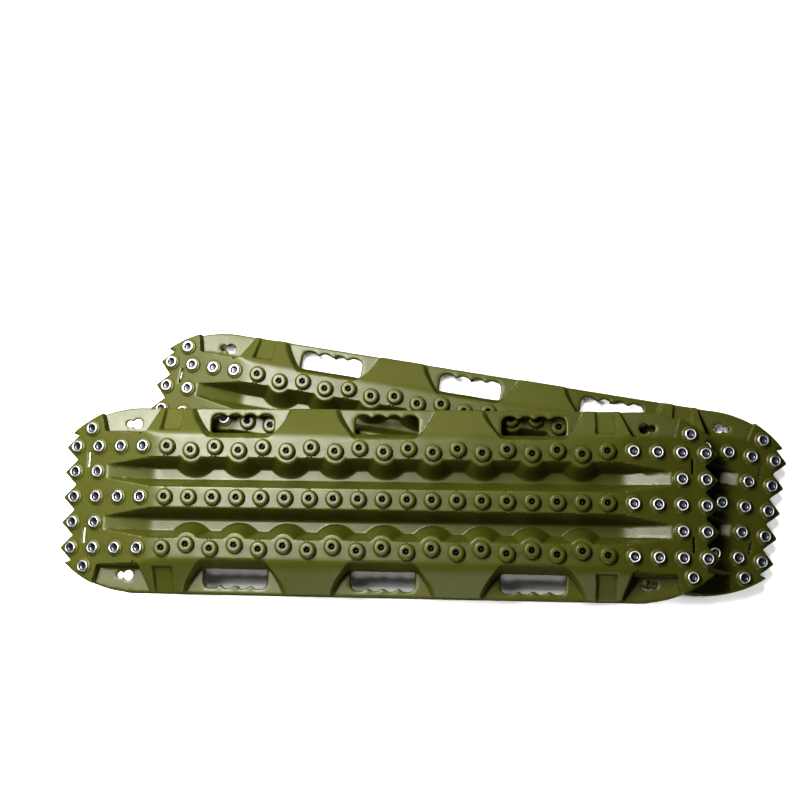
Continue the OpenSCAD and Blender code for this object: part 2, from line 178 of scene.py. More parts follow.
def grip_pocket(x, ay, t):
    """The pockets that the handle holes are cut through, wider and gentler towards the side."""
    dx = np.min([np.abs(x - c) for c in (-GRIP_X, 0, GRIP_X)], axis=0)
    v = (ay - POCKET_Y) / POCKET_W
    half = POCKET_HALF + POCKET_SPREAD * v - POCKET_CURVE * np.maximum(v, 0) ** 2
    draft = POCKET_DRAFT + POCKET_DRAFT_GAIN * np.clip(v, 0, 1.1) ** 2
    side = (dx - half - t) / draft
    inner = (POCKET_IN - t - ay) * (RIDGE_Z - FLOOR_Z) / (POCKET_IN - POCKET_TOP)
    return FLOOR_Z - t + smooth_max(0.0 * ay, smooth_max(side, inner, 26), 2.5)


def key_pocket(ax, ay, t):
    """The pockets round the keyholes: fanned walls, and a floor that rises towards the tip."""
    near = KEY_POCKET_NEAR - KEY_NEAR_SKEW * (ay - KEY_POCKET_Y)
    far = KEY_POCKET_FAR + KEY_FAR_SKEW * (ay - KEY_POCKET_Y)
    walls = smooth_max((near - t - ax) / KEY_NEAR_DRAFT, (ax - far - t) / KEY_FAR_DRAFT, 8)
    walls = smooth_max(walls, (KEY_POCKET_Y - t - ay) / KEY_IN_DRAFT, 14)
    return FLOOR_Z - t + KEY_POCKET_TILT * (ax - KEY_POCKET_NEAR) + smooth_max(0.0 * ay, walls, 2.5)


def recess(ax, ay, t):
    """The square recesses, whose floors fall to the side."""
    floor = RIDGE_Z - RECESS_DEPTH - t - RECESS_FALL * (ay - RECESS_Y)
    ends = (np.abs(ax - RECESS_X) - RECESS_HALF - t) / RECESS_DRAFT
    walls = smooth_max(ends, (RECESS_Y - t - ay) / RECESS_IN_DRAFT, 4)
    return floor + smooth_max(0.0 * ay, walls, 1.5)


def surface(x, y, t=0.0):
    """Height of the moulding's upper face, or with t = WALL the roof of the space under it."""
    ax, ay = np.abs(x), np.abs(y)
    top = smooth_min(plate(ax) - t, sides(ax, ay) - t, 2.0)
    hollow = smooth_max(channel(ax, ay, t), tower(x, ay, t), 4)
    crisper = np.clip((ax - 390) / 40, 0, 1)          # along the ramps
    top = smooth_min(top, hollow, 3.2 - 2.4 * crisper)
    top = smooth_min(top, grip_pocket(x, ay, t), 3)
    top = smooth_min(top, key_pocket(ax, ay, t), 3)
    return smooth_min(top, recess(ax, ay, t), 2.5)


def keel(x):
    """Height of the lowest face: the ground, rising under the tips."""
    return np.maximum(0.0, (np.abs(x) - KEEL_END) * KEEL_TIP_Z / (HALF_L - KEEL_END))


# ---------------------------------------------------------------- outlines in plan

def arc(cx, cy, r, a0, a1, n):
    """n + 1 points of an arc, in degrees."""
    return [(cx + r * math.cos(math.radians(a0 + (a1 - a0) * i / n)),
             cy + r * math.sin(math.radians(a0 + (a1 - a0) * i / n))) for i in range(n + 1)]


def rounded(corners, n=4):
    """A closed outline whose corners (x, y, radius) are rounded."""
    points = []
    for i, (x, y, r) in enumerate(corners):
        p = np.array([x, y])
        if not r:
            points.append((x, y))
            continue
        a = np.array(corners[i - 1][:2]) - p
        b = np.array(corners[(i + 1) % len(corners)][:2]) - p
        a, b = a / np.linalg.norm(a), b / np.linalg.norm(b)
        half = math.acos(float(np.clip(a @ b, -1, 1))) / 2
        start, end = p + a * r / math.tan(half), p + b * r / math.tan(half)
        for k in range(n + 1):
            u = k / n
            points.append(tuple((1 - u) ** 2 * start + 2 * u * (1 - u) * p + u * u * end))
    return points


def board_outline():
    """The long sides, round corners and toothed ends, as one closed loop."""
    top = math.degrees(math.atan2(SPIKE[1] - CORNER_Y, SPIKE[0] - CORNER_X))
    quarter = [(x, y, 0) for x, y in arc(CORNER_X, CORNER_Y, CORNER_R, 90, top, 20)[:-1]]
    quarter.append((*SPIKE, VALLEY_R))
    for k in (2.5, 2, 1.5, 1, 0.5):
        if k == int(k):
            quarter.append((HALF_L, k * TOOTH, TIP_R))
        else:
            quarter.append((HALF_L - TOOTH_DEPTH, k * TOOTH, VALLEY_R))
    right = quarter + [(HALF_L, 0, TIP_R)] + [(x, -y, r) for x, y, r in reversed(quarter)]
    return rounded(right + [(-x, y, r) for x, y, r in reversed(right)])


def grip_outline():
    """A handle hole: straight inside, with finger scallops outside."""
    r = GRIP_IN_CORNER
    points = arc(-GRIP_HALF + r, GRIP_IN + r, r, 180, 270, 4)
    points += arc(GRIP_HALF - r, GRIP_IN + r, r, 270, 360, 4)
    points += arc(GRIP_HALF - GRIP_CORNER, GRIP_OUT - GRIP_CORNER, GRIP_CORNER, 0, 90, 6)
    for x in np.linspace(FINGERS_HALF, -FINGERS_HALF, 53):
        near = 0.0 if abs(x) > 1.5 * FINGER_PITCH else (1 + math.cos(2 * math.pi * x / FINGER_PITCH)) / 2
        points.append((float(x), GRIP_OUT - BUMP_H * near ** 1.6))
    return points + arc(-GRIP_HALF + GRIP_CORNER, GRIP_OUT - GRIP_CORNER, GRIP_CORNER, 90, 180, 6)


def key_outline():
    """A keyhole: a wide round end and a narrow one."""
    gap = KEY_NECK_X - KEY_X
    a = (gap ** 2 + KEY_R ** 2 - NECK_R ** 2) / (2 * gap)
    h = math.sqrt(KEY_R ** 2 - a ** 2)
    wide, neck = math.degrees(math.atan2(h, a)), math.degrees(math.atan2(h, gap - a))
    return (arc(KEY_X, KEY_Y, KEY_R, wide, 360 - wide, 26)
            + arc(KEY_NECK_X, KEY_Y, NECK_R, neck - 180, 180 - neck, 18)[1:-1])


def slot_outline():
    """A strap slot."""
    x, y, r = SLOT_W / 2, SLOT_L / 2, SLOT_CORNER
    return [(SLOT_X + px, SLOT_Y + py) for px, py in
            rounded([(-x, -y, r), (x, -y, r), (x, y, r), (-x, y, r)], 3)]


def cavity_outline():
    """The space under the deck, inside the skirt."""
    r = CORNER_R - WALL
    end = math.degrees(math.acos((CAVITY_END - CORNER_X) / r))
    quarter = arc(CORNER_X, CORNER_Y, r, 90, end, 12)
    right = quarter + [(x, -y) for x, y in reversed(quarter)]
    return right + [(-x, y) for x, y in reversed(right)]


def four(loop):
    """The same loop in all four corners."""
    return [[(sx * x, sy * y) for x, y in loop] for sx in (-1, 1) for sy in (-1, 1)]


def knob_places():
    """Places of every knob: a centre row, and two outer rows that zigzag."""
    places = []
    for i in range(-KNOB_SIDE, KNOB_SIDE + 1):
        row = ROW_OUT if i % 2 else ROW_IN
        places += [(i * PITCH, row), (i * PITCH, 0.0), (i * PITCH, -row)]
    return places


def stud_places(kind):
    """Places of one kind of stud at the right end."""
    columns = [STUD_FIRST + i * STUD_STEP for i in range(4)]
    if kind == "outer":
        return [(x, s * STUD_ROW) for x in columns for s in (-1, 1)]
    if kind == "channel":
        return [(x, s * STUD_CHANNEL_ROW) for x in columns[2:] for s in (-1, 1)]
    if kind == "centre":
        return [(x, 0.0) for x in columns]
    return [(STUD_CORNER[0], s * STUD_CORNER[1]) for s in (-1, 1)]


def end_studs():
    """Places of every stud at the right end."""
    return [p for kind in STUD_KINDS for p in stud_places(kind)]


def all_studs():
    """Places of every stud of a board."""
    return [(s * x, y) for s in (-1, 1) for x, y in end_studs()]


def on_plate(x, y, local):
    """Points of a stud's own frame, which stands square to the end plate, as board points."""
    s = math.copysign(1, x)
    px, py, pz = np.asarray(local, float).T
    c, d = math.cos(SLOPE), math.sin(SLOPE)
    z0 = RIDGE_Z - PLATE_FALL * (abs(x) - SLOPE_START)
    return np.stack([x + px * c + s * pz * d, y + py, z0 + pz * c - s * px * d], 1)


def angles(n):
    """n equal steps round a circle."""
    return np.arange(n) * 2 * math.pi / n


def hex_radius(angle, corner):
    """Radius of a hexagon with its corners at that radius."""
    return corner * math.cos(math.pi / 6) / np.cos((angle % (math.pi / 3)) - math.pi / 6)


def ring(angle, r, z, six=False, turn=0.0):
    """Points at these angles round the z axis, on a circle or on a turned hexagon."""
    radius = hex_radius(angle + turn, r) if six else r + 0 * angle
    return np.stack([radius * np.cos(angle), radius * np.sin(angle), z + 0 * angle], 1)


# ---------------------------------------------------------------- mesh of a board

def bends(ax, ay, bx, by):
    """How far the faces stray from a straight line between two points."""
    worst = 0.0
    for t, weight in ((0.0, 1.0), (WALL, 0.5)):
        mid = surface((ax + bx) / 2, (ay + by) / 2, t)
        ends = (surface(ax, ay, t) + surface(bx, by, t)) / 2
        worst = np.maximum(worst, weight * np.abs(mid - ends))
    return worst


def divided(line, closed, longest=7.0, tol=0.12):
    """A line with points added where the faces bend."""
    p = np.array(line, float)
    if closed:
        p = np.vstack([p, p[:1]])
    while True:
        a, b = p[:-1], p[1:]
        length = np.hypot(*(b - a).T)
        bent = bends(a[:, 0], a[:, 1], b[:, 0], b[:, 1]) > tol
        split = (length > longest) | (bent & (length > 2 * SMALLEST))
        if not split.any():
            return p[:-1] if closed else p
        mids = (a[split] + b[split]) / 2
        p = np.insert(p, np.nonzero(split)[0] + 1, mids, axis=0)


def field_points(tol=0.1):
    """Points over the board, closer together where its faces bend."""
    x0, y0 = np.meshgrid(np.linspace(0, HALF_L, COLUMNS + 1)[:-1], np.linspace(0, HALF_W, ROWS + 1)[:-1])
    widths, heights = np.full(x0.size, HALF_L / COLUMNS), np.full(x0.size, HALF_W / ROWS)
    cells = np.stack([x0.ravel(), y0.ravel(), widths, heights], 1)
    leaves = []
    while len(cells):
        x, y, w, h = cells.T
        bend_x = np.max([bends(x, y + f * h, x + w, y + f * h) for f in (0.0, 0.5, 1.0)], axis=0)
        bend_y = np.max([bends(x + f * w, y, x + f * w, y + h) for f in (0.0, 0.5, 1.0)], axis=0)
        sx, sy = (bend_x > tol) & (w > 2 * SMALLEST), (bend_y > tol) & (h > 2 * SMALLEST)
        leaves.append(cells[~sx & ~sy])
        parts = []
        for do_x, do_y in ((True, True), (True, False), (False, True)):
            c = cells[(sx == do_x) & (sy == do_y)]
            cw, ch = c[:, 2] / (1 + do_x), c[:, 3] / (1 + do_y)
            for i in range(1 + do_x):
                for j in range(1 + do_y):
                    parts.append(np.stack([c[:, 0] + i * cw, c[:, 1] + j * ch, cw, ch], 1))
        cells = np.vstack(parts)
    x, y, w, h = np.vstack(leaves).T
    corners = np.vstack([np.stack([x + i * w, y + j * h], 1) for i in (0, 1) for j in (0, 1)])
    corners = np.vstack([corners * (sx, sy) for sx in (-1, 1) for sy in (-1, 1)])
    return np.unique(np.round(corners, 2), axis=0)


def beside(loop, d):
    """The loop drawn out to its left by d, with mitred corners."""
    p = np.array(loop)
    ahead, behind = np.roll(p, -1, 0) - p, p - np.roll(p, 1, 0)
    ahead /= np.linalg.norm(ahead, axis=1)[:, None]
    behind /= np.linalg.norm(behind, axis=1)[:, None]
    normal = np.stack([-(ahead + behind)[:, 1], (ahead + behind)[:, 0]], 1)
    normal /= np.maximum(np.linalg.norm(normal, axis=1), 1e-6)[:, None]
    mitre = np.maximum(np.abs(normal[:, 0] * -ahead[:, 1] + normal[:, 1] * ahead[:, 0]), 0.5)
    return p + normal * (d / mitre)[:, None]


def turned_left(loop):
    """The loop, anticlockwise."""
    p = np.array(loop, float)
    q = np.roll(p, -1, 0)
    return p if (p[:, 0] * q[:, 1] - p[:, 1] * q[:, 0]).sum() > 0 else p[::-1]


def inside(points, loop):
    """Which points lie inside a closed loop."""
    loop = np.array(loop)
    low, high = loop.min(0), loop.max(0)
    near = np.nonzero(((points > low) & (points < high)).all(1))[0]
    x, y = points[near].T
    odd = np.zeros(len(near), bool)
    for (ax, ay), (bx, by) in zip(loop, np.roll(loop, -1, 0)):
        if ay != by:
            crosses = (ay > y) != (by > y)
            odd ^= crosses & (x < (bx - ax) * (y - ay) / (by - ay) + ax)
    found = np.zeros(len(points), bool)
    found[near[odd]] = True
    return found


def nearest(points, samples):
    """Distance of each point to the nearest sample."""
    tree = KDTree(len(samples))
    for i, (x, y) in enumerate(samples):
        tree.insert((x, y, 0.0), i)
    tree.balance()
    return np.array([tree.find((x, y, 0.0))[2] for x, y in points])


def fillet(points, samples, r):
    """How far a rounded edge has dropped at each point."""
    inner = np.clip(r + 0.02 - nearest(points, samples), 0, r)
    return r - np.sqrt(r * r - inner * inner)


def dense(loop, step=0.4):
    """Points close together along a closed loop."""
    p = np.array(loop)
    q = np.roll(p, -1, 0)
    return np.vstack([a + (b - a) * np.arange(0, 1, step / max(np.hypot(*(b - a)), step))[:, None]
                      for a, b in zip(p, q)])


def in_rib(points):
    """Which points lie in a rib. The rows stop short of the strap slots."""
    x, y = np.abs(points).T
    across = np.abs(x - 2 * PITCH * np.round(x / (2 * PITCH))) < RIB_T / 2
    across &= x < (2 * CROSS_RIBS + 1) * PITCH
    along = np.min([np.abs(y - r) for r in RIB_ROWS], axis=0) < RIB_T / 2
    along &= (x < SLOT_X) | (np.abs(y - SLOT_Y) > SLOT_L / 2)
    return across | along


def rib_lines():
    """The two edges of each rib, in plan."""
    h = RIB_T / 2
    lines = [[(x + s * h, -BODY_HALF_W + 2), (x + s * h, BODY_HALF_W - 2)]
             for x in 2 * PITCH * np.arange(-CROSS_RIBS, CROSS_RIBS + 1) for s in (-1, 1)]
    return lines + [[(-CAVITY_END - 2, m * y + s * h), (CAVITY_END + 2, m * y + s * h)]
                    for y in RIB_ROWS for m in (-1, 1) for s in (-1, 1)]


class Plan:
    """The board in plan, as triangles that know what they belong to."""

    def __init__(self):
        self.outline = turned_left(divided(board_outline(), True))
        grips = [[(x + c, m * y) for x, y in grip_outline()] for c in (-GRIP_X, 0, GRIP_X) for m in (-1, 1)]
        others = four(key_outline()) + four(slot_outline())
        self.holes = [turned_left(divided(h, True)) for h in grips + others]
        knob = ring(angles(KNOB_TURNS), KNOB_FOOT_R, 0)[:, :2]
        self.knobs = [(x, y, knob + (x, y)) for x, y in knob_places()]
        self.bosses = self.round_studs(BOSS_FOOT_R, 0, 36)
        self.bores = self.round_studs(SHANK_R, -WALL, 12)
        wells = [loop for *_, loop in self.round_studs(WELL_R, -WALL, 24)]
        cavity = divided(cavity_outline(), True)
        self.points, self.edges = [], []
        rims = [self.outline, *self.holes]
        rounds = [c for *_, c in self.knobs + self.bosses + self.bores] + wells
        for loop in [*rims, *rounds, cavity]:
            self.add(loop, True)
        lines = [divided(line, False) for line in rib_lines()]
        for line in lines:
            self.add(line, False)
        soft_holes, crisp_holes = self.holes[:len(grips)], self.holes[len(grips):]
        self.soft = np.vstack([dense(loop) for loop in [self.outline, *soft_holes]])
        self.crisp = np.vstack([dense(loop) for loop in crisp_holes])
        self.add_edges([self.outline], soft_holes, self.soft, SOFT_ROWS)
        self.add_edges([], crisp_holes, self.crisp, CRISP_ROWS)
        self.add_field(rounds, [dense(cavity, 1.0), *lines])
        self.triangulate()
        self.classify(wells, cavity)
        self.drop = np.maximum(fillet(self.xy, self.soft, SOFT_EDGE), fillet(self.xy, self.crisp, CRISP_EDGE))

    @staticmethod
    def round_studs(r, z, n):
        """A loop round every stud, as the stud's place and the loop's points."""
        return [(x, y, on_plate(x, y, ring(angles(n), r, z))[:, :2]) for x, y in all_studs()]

    def add(self, line, closed):
        """Takes in a line's points and its edges."""
        start = sum(len(p) for p in self.points)
        n = len(line)
        self.points.append(np.array(line, float))
        self.edges += [(start + i, start + (i + 1) % n) for i in range(n if closed else n - 1)]

    def add_edges(self, outer, holes, samples, rows):
        """Rows of points that follow the rounded edges."""
        for d in rows:
            row = np.vstack([beside(loop, d) for loop in outer] + [beside(hole[::-1], d) for hole in holes])
            self.points.append(row[nearest(row, samples) > 0.8 * d])

    def add_field(self, rounds, others):
        """Points between the lines, kept clear of them."""
        field = field_points()
        field = field[inside(field, self.outline)]
        for hole in self.holes:
            field = field[~inside(field, hole)]
        field = field[nearest(field, self.soft) > SOFT_EDGE + 0.5]
        field = field[nearest(field, self.crisp) > CRISP_EDGE + 0.4]
        field = field[nearest(field, np.vstack([dense(c, 0.8) for c in rounds])) > 0.7]
        field = field[nearest(field, np.vstack(others)) > 0.6]
        self.points.append(field)

    def triangulate(self):
        """Joins all points up, along the lines, and turns the triangles face up."""
        points = [Vector(p) for p in np.vstack(self.points)]
        xy, _, faces, *_ = delaunay_2d_cdt(points, self.edges, [], 0, 1e-3, False)
        self.xy = np.array([tuple(p) for p in xy])
        t = np.array([f for f in faces if len(f) == 3])
        a, b, c = self.xy[t[:, 0]], self.xy[t[:, 1]], self.xy[t[:, 2]]
        area = (b[:, 0] - a[:, 0]) * (c[:, 1] - a[:, 1]) - (b[:, 1] - a[:, 1]) * (c[:, 0] - a[:, 0])
        t[area < 0] = t[area < 0][:, ::-1]
        self.triangles = t[np.abs(area) > 1e-7]

    def classify(self, wells, cavity):
        """Keeps the triangles on the board, and marks those under knobs, in bores and over the hollow."""
        middle = self.xy[self.triangles].mean(1)
        solid = inside(middle, self.outline)
        for hole in self.holes:
            solid &= ~inside(middle, hole)
        self.triangles, middle = self.triangles[solid], middle[solid]
        n = len(middle)
        self.under_knob, self.in_bore, in_well = np.zeros(n, bool), np.zeros(n, bool), np.zeros(n, bool)
        for *_, loop in self.knobs + self.bosses:
            self.under_knob |= inside(middle, loop)
        for *_, loop in self.bores:
            self.in_bore |= inside(middle, loop)
        for loop in wells:
            in_well |= inside(middle, loop)
        self.hollow = (inside(middle, cavity) & ~in_rib(middle)) | in_well


class Builder:
    """Collects vertices and faces. Faces listed in dark get the second material."""

    def __init__(self):
        self.vertices, self.faces, self.dark, self.count = [], [], [], 0

    def add(self, points):
        """Takes in points and returns their numbers."""
        points = np.atleast_2d(np.asarray(points, float))
        self.vertices.append(points)
        self.count += len(points)
        return np.arange(self.count - len(points), self.count)

    def band(self, outer, inner):
        """Faces between two closed rings, seen anticlockwise from outside."""
        n = len(outer)
        for i in range(n):
            j = (i + 1) % n
            self.faces.append((outer[i], outer[j], inner[j], inner[i]))

    def fan(self, loop, point):
        """Faces from a closed ring to one point."""
        centre = int(self.add(point)[0])
        n = len(loop)
        self.faces += [(loop[i], loop[(i + 1) % n], centre) for i in range(n)]

    def mesh(self, name, smooth_angle):
        """The collected mesh in metres, smooth but for edges sharper than smooth_angle."""
        mesh = bpy.data.meshes.new(name)
        faces = [tuple(map(int, face)) for face in self.faces]
        mesh.from_pydata((np.vstack(self.vertices) * MM).tolist(), [], faces)
        for i in self.dark:
            mesh.polygons[i].material_index = 1
        mesh.validate()
        mesh.shade_smooth()
        mesh.set_sharp_from_angle(angle=math.radians(smooth_angle))
        return mesh


def loop_of(points, place, on_end_plate):
    """Vertices of the plan that lie on a round loop, in order, with their angles."""
    x, y, loop = place
    reach = np.hypot(*(loop - (x, y)).T)
    centre = loop.mean(0)
    near = np.nonzero(np.hypot(*(points - centre).T) < reach.max() + 1)[0]
    p, q = loop, np.roll(loop, -1, 0)
    keep = []
    for i in near:
        d = q - p
        t = np.clip(((points[i] - p) * d).sum(1) / (d * d).sum(1), 0, 1)
        if np.hypot(*(points[i] - p - t[:, None] * d).T).min() < 2e-3:
            keep.append(i)
    keep = np.array(keep)
    dx, dy = (points[keep] - centre).T
    if on_end_plate:
        dx = dx / math.cos(SLOPE)
    angle = np.arctan2(dy, dx) % (2 * math.pi)
    order = np.argsort(angle)
    return keep[order], angle[order]


def add_knobs(builder, plan, top_id):
    """Round knobs on the ridges, each with a hexagonal socket that has a tip in its middle."""
    for place in plan.knobs:
        x, y = place[:2]
        ids, angle = loop_of(plan.xy, place, False)
        last = top_id[ids]
        turn = OUTER_TURN if abs(y) == ROW_OUT else INNER_TURN
        for profile, six in ((KNOB_PROFILE, False), (KNOB_SOCKET, True)):
            for r, z in profile:
                level = builder.add(ring(angle, r, z, six, turn) + (x, y, RIDGE_Z))
                start = len(builder.faces)
                builder.band(last, level)
                # Socket faces take the second, darkened nylon: painted shade in the socket.
                if r < SHADED_SOCKET_R:
                    builder.dark += range(start, len(builder.faces))
                last = level
        # The tip's fan takes the painted shade as well.
        builder.dark += range(len(builder.faces), len(builder.faces) + len(last))
        builder.fan(last, (x, y, RIDGE_Z + KNOB_SOCKET[-1][1]))


def add_bosses(builder, plan, top_id, roof_id):
    """Low round bosses on the end plates, each with a bore for a stud's shank."""
    for boss, bore in zip(plan.bosses, plan.bores):
        x, y = boss[:2]
        ids, angle = loop_of(plan.xy, boss, True)
        last = top_id[ids]
        for r, z in BOSS_PROFILE[:-1]:
            level = builder.add(on_plate(x, y, ring(angle, r, z)))
            builder.band(last, level)
            last = level
        low, low_angle = loop_of(plan.xy, bore, True)
        rim = builder.add(on_plate(x, y, ring(low_angle, *BOSS_PROFILE[-1])))
        stitch(builder, last, angle, rim, low_angle)
        builder.band(rim, roof_id[low])


def stitch(builder, outer, outer_angle, inner, inner_angle):
    """Triangles between two rings with different numbers of points."""
    i = j = 0
    n, m = len(outer), len(inner)
    turn = 2 * math.pi
    while i < n or j < m:
        next_outer = outer_angle[(i + 1) % n] + (turn if i + 1 >= n else 0)
        next_inner = inner_angle[(j + 1) % m] + (turn if j + 1 >= m else 0)
        if j >= m or (i < n and next_outer <= next_inner):
            builder.faces.append((outer[i % n], outer[(i + 1) % n], inner[j % m]))
            i += 1
        else:
            builder.faces.append((outer[i % n], inner[(j + 1) % m], inner[j % m]))
            j += 1


def edges_of(triangles):
    """Directed edge -> index of its triangle."""
    found = {}
    for k, (a, b, c) in enumerate(triangles.tolist()):
        found[(a, b)] = found[(b, c)] = found[(c, a)] = k
    return found


def add_sheet(builder, xy, triangles, z):
    """One new vertex for each plan vertex that the triangles use. Returns all their numbers."""
    used = np.unique(triangles)
    ids = np.full(len(xy), -1)
    ids[used] = builder.add(np.column_stack([xy[used], z[used]]))
    return ids


def add_walls(builder, plan, top_id, roof_id, base_id):
    """Upright faces of holes, ribs and the hollow. Returns the edges along the outline."""
    owner = edges_of(plan.triangles)
    on_rim = nearest(plan.xy, plan.outline) < 0.01
    outline_edges = []
    for (p, q), k in owner.items():
        other = owner.get((q, p))
        if plan.in_bore[k]:
            continue
        if other is None and plan.hollow[k]:
            builder.faces.append((top_id[p], roof_id[p], roof_id[q], top_id[q]))
        elif other is None and on_rim[p] and on_rim[q]:
            outline_edges.append((p, q))
        elif other is None:
            wall = (top_id[p], roof_id[p], base_id[p], base_id[q], roof_id[q], top_id[q])
            builder.faces.append(tuple(v for v in wall if v >= 0))
        elif plan.hollow[other] and not plan.hollow[k] and not plan.in_bore[other]:
            builder.faces.append((roof_id[p], base_id[p], base_id[q], roof_id[q]))
    return outline_edges


def add_skirt(builder, xy, outline_edges, top_id, base_id, base_z):
    """The outer wall, with a lip along the foot of the long sides."""
    rows = {}
    for p in {v for e in outline_edges for v in e}:
        x, y = xy[p]
        on_side = abs(x) < KEEL_END and abs(y) > BODY_HALF_W - 0.5
        lip = HALF_W - BODY_HALF_W if on_side else 0.0
        out = math.copysign(lip * np.clip((KEEL_END - abs(x)) / LIP_FADE, 0, 1), y)
        z = base_z[p]
        rows[p] = builder.add([(x, y, z + LIP_H + LIP_SLOPE), (x, y + out, z + LIP_H),
                               (x, y + out, z + LIP_CHAMFER)])
    for p, q in outline_edges:
        left = [top_id[p], *rows[p], base_id[p]]
        right = [top_id[q], *rows[q], base_id[q]]
        for i in range(len(left) - 1):
            builder.faces.append((left[i], left[i + 1], right[i + 1], right[i]))


def board_mesh():
    """One board's moulding, knobs and bosses included, as a closed mesh."""
    plan = Plan()
    builder = Builder()
    x, y = plan.xy.T
    base_z = keel(x)
    top = plan.triangles[~plan.under_knob]
    roof = plan.triangles[plan.hollow & ~plan.in_bore]
    base = plan.triangles[~plan.hollow & ~plan.in_bore]
    top_id = add_sheet(builder, plan.xy, top, surface(x, y) - plan.drop)
    roof_id = add_sheet(builder, plan.xy, roof, surface(x, y, WALL))
    base_id = add_sheet(builder, plan.xy, base, base_z)
    for faces in (top_id[top], roof_id[roof][:, ::-1], base_id[base][:, ::-1]):
        builder.faces += faces.tolist()
    outline_edges = add_walls(builder, plan, top_id, roof_id, base_id)
    add_skirt(builder, plan.xy, outline_edges, top_id, base_id, base_z)
    add_knobs(builder, plan, top_id)
    add_bosses(builder, plan, top_id, roof_id)
    return builder.mesh("board", 38)


# ---------------------------------------------------------------- studs, washers and nuts

def thread_profile(z0, z1, r):
    """Radius and height of a screw thread, as rings."""
    half_pitch = THREAD_PITCH / 2
    steps = range(int((z1 - z0) / half_pitch))
    return [(r - (THREAD_DEPTH if i % 2 else 0), z0 + i * half_pitch) for i in steps]


def lathe(builder, place, profile, six=False, close_low=False, close_high=False, start=None):
    """Rings round a stud's axis. Returns the last ring."""
    last = start
    for r, z in profile:
        level = builder.add(on_plate(*place, ring(angles(STUD_TURNS), r, z, six)))
        if last is not None:
            builder.band(last, level)
        elif close_low:
            builder.fan(level[::-1], on_plate(*place, [(0, 0, z)]))
        last = level
    if close_high:
        builder.fan(last, on_plate(*place, [(0, 0, profile[-1][1])]))
    return last


def lathe_ring(builder, place, profile, six=()):
    """A closed ring section turned round a stud's axis. Entries of six are hexagonal."""
    levels = [builder.add(on_plate(*place, ring(angles(STUD_TURNS), r, z, i in six)))
              for i, (r, z) in enumerate(profile)]
    for one, two in zip(levels, levels[1:] + levels[:1]):
        builder.band(one, two)


def stud_set(places):
    """Studs: a threaded shank, a round head, and a dish with a hexagon socket, darkened as painted shade."""
    builder = Builder()
    shank = [(3.2, NUT_BOTTOM - 1.0), (3.8, NUT_BOTTOM - 0.5)]
    shank += thread_profile(NUT_BOTTOM - 0.4, WASHER_BOTTOM, SHANK_R - 0.2)
    for place in places:
        rim = lathe(builder, place, [*shank, *STUD_HEAD], close_low=True)
        start = len(builder.faces)
        low = lathe(builder, place, STUD_DISH, start=rim)
        lathe(builder, place, STUD_SOCKET, six=True, close_high=True, start=low)
        # The dish and socket take the dark steel: painted shade in the recess.
        builder.dark += range(start, len(builder.faces))
    return builder.mesh("studs", 35)


def washer_set(places):
    """Flat washers with their edges broken."""
    builder = Builder()
    z0, z1, r = WASHER_BOTTOM, WASHER_BOTTOM + WASHER_T, WASHER_R
    for place in places:
        lathe_ring(builder, place, [
            (SHANK_R, z0 + 0.15), (SHANK_R + 0.2, z0), (r - 0.3, z0), (r, z0 + 0.3),
            (r, z1 - 0.3), (r - 0.3, z1), (SHANK_R + 0.2, z1), (SHANK_R, z1 - 0.15)])
    return builder.mesh("washers", 35)


def nut_set(places):
    """Hexagon nuts with a round flange."""
    builder = Builder()
    z0, z1, r, flange_r = NUT_BOTTOM, WASHER_BOTTOM, NUT_R, NUT_FLANGE_R
    flange_z = z1 - NUT_FLANGE_T
    for place in places:
        lathe_ring(builder, place, [
            (4.0, z0 + 0.5), (4.5, z0), (6.3, z0), (r, z0 + 0.7), (r, flange_z - 0.6),
            (flange_r - 0.2, flange_z), (flange_r, flange_z + 0.3), (flange_r, z1 - 0.2),
            (flange_r - 0.2, z1), (4.5, z1), (4.0, z1 - 0.5)], six=(3, 4))
    return builder.mesh("nuts", 35)


# ---------------------------------------------------------------- materials

def new_material(name):
    """A material, its nodes and links, and its shader."""
    material = bpy.data.materials.new(name)
    material.use_nodes = True
    nodes, links = material.node_tree.nodes, material.node_tree.links
    return material, nodes, links, nodes["Principled BSDF"]


def noise(nodes, links, coords, scale, detail=3.0, roughness=0.55):
    """A noise between 0 and 1."""
    node = nodes.new("ShaderNodeTexNoise")
    node.inputs["Scale"].default_value = scale
    node.inputs["Detail"].default_value = detail
    node.inputs["Roughness"].default_value = roughness
    links.new(coords, node.inputs["Vector"])
    return node.outputs["Fac"]


def ramp(nodes, links, value, low, high, start=0.3, end=0.7):
    """A value or a colour that goes from low to high."""
    node = nodes.new("ShaderNodeValToRGB")
    for element, at, shade in zip(node.color_ramp.elements, (start, end), (low, high)):
        element.position = at
        element.color = (*shade, 1) if isinstance(shade, tuple) else (shade, shade, shade, 1)
    links.new(value, node.inputs["Fac"])
    return node.outputs["Color"]


def mix(nodes, links, fac, a, b, blend="MIX"):
    """Two colours mixed. Each input is a socket or a value."""
    node = nodes.new("ShaderNodeMix")
    node.data_type = "RGBA"
    node.blend_type = blend
    factor, first, second, result = 0, 6, 7, 2          # the node's sockets for colours
    for socket, value in ((factor, fac), (first, a), (second, b)):
        if isinstance(value, bpy.types.NodeSocket):
            links.new(value, node.inputs[socket])
        else:
            node.inputs[socket].default_value = value if socket == factor else (*value, 1)
    return node.outputs[result]


def bump(nodes, links, height, strength, distance, normal=None):
    """A relief, on top of another one if a normal is given."""
    node = nodes.new("ShaderNodeBump")
    node.inputs["Strength"].default_value = strength
    node.inputs["Distance"].default_value = distance
    links.new(height, node.inputs["Height"])
    if normal is not None:
        links.new(normal, node.inputs["Normal"])
    return node.outputs["Normal"]


